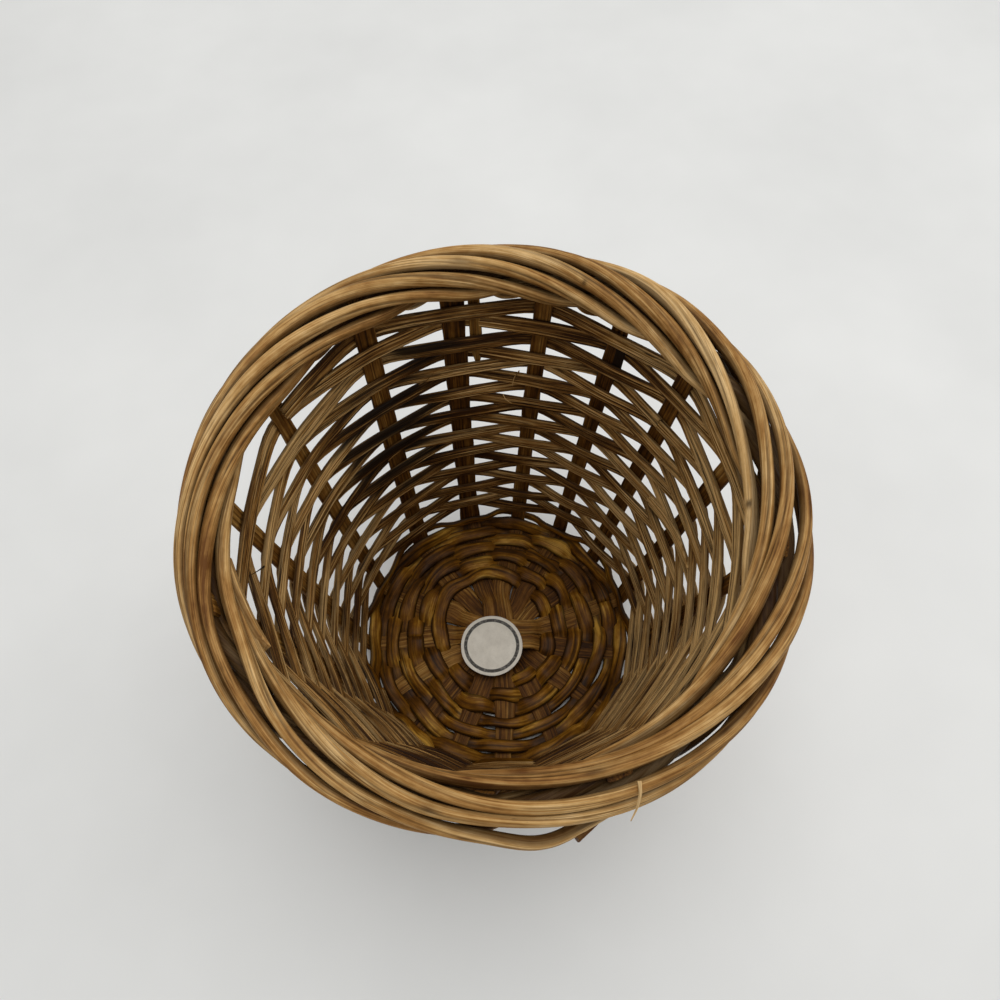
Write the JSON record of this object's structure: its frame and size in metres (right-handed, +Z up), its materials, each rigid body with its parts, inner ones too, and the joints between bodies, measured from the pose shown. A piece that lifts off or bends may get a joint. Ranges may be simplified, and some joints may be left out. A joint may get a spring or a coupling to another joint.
{
  "type": "wicker planter basket",
  "caption": "Round flared basket of flat reed woven over upright stakes, with a rolled cane border and a woven base. It holds a potted plant.",
  "frame": {"origin": "middle of the base, on the surface that the basket stands on", "axes": "+Z up through the mouth, +X to the right of the pictured side, +Y away from it"},
  "size_m": [0.1894, 0.1952, 0.1522],
  "materials": {
    "stake_cane": "raw dark split cane",
    "side_reed": "raw brown flat reed",
    "base_reed": "raw olive brown flat reed",
    "rim_cane": "satin peeled round cane",
    "label_paper": "matt uncoated paper"
  },
  "bodies": {
    "root": {"base_strip_1": "stake_cane", "base_strip_2": "stake_cane", "base_strip_3": "stake_cane", "base_strip_4": "stake_cane", "base_strip_5": "stake_cane", "base_strip_6": "stake_cane", "base_strip_7": "stake_cane", "half_strip": "stake_cane", "side_weaver_1": "side_reed", "side_weaver_2": "side_reed", "side_weaver_3": "side_reed", "side_weaver_4": "side_reed", "side_weaver_5": "side_reed", "side_weaver_6": "side_reed", "base_weaver_1": "base_reed", "base_weaver_2": "base_reed", "base_weaver_3": "base_reed", "rim_rod_1": "rim_cane", "rim_rod_2": "rim_cane", "rim_rod_3": "rim_cane", "rim_rod_4": "rim_cane", "rim_rod_5": "rim_cane", "rim_rod_6": "rim_cane", "rim_rod_7": "rim_cane", "rim_rod_8": "rim_cane", "rim_rod_9": "rim_cane", "rim_rod_10": "rim_cane", "rim_rod_11": "rim_cane", "rim_rod_12": "rim_cane", "rim_rod_13": "rim_cane", "rim_rod_14": "rim_cane", "rim_rod_15": "rim_cane", "paper_label": "label_paper"}
  },
  "joints": []
}
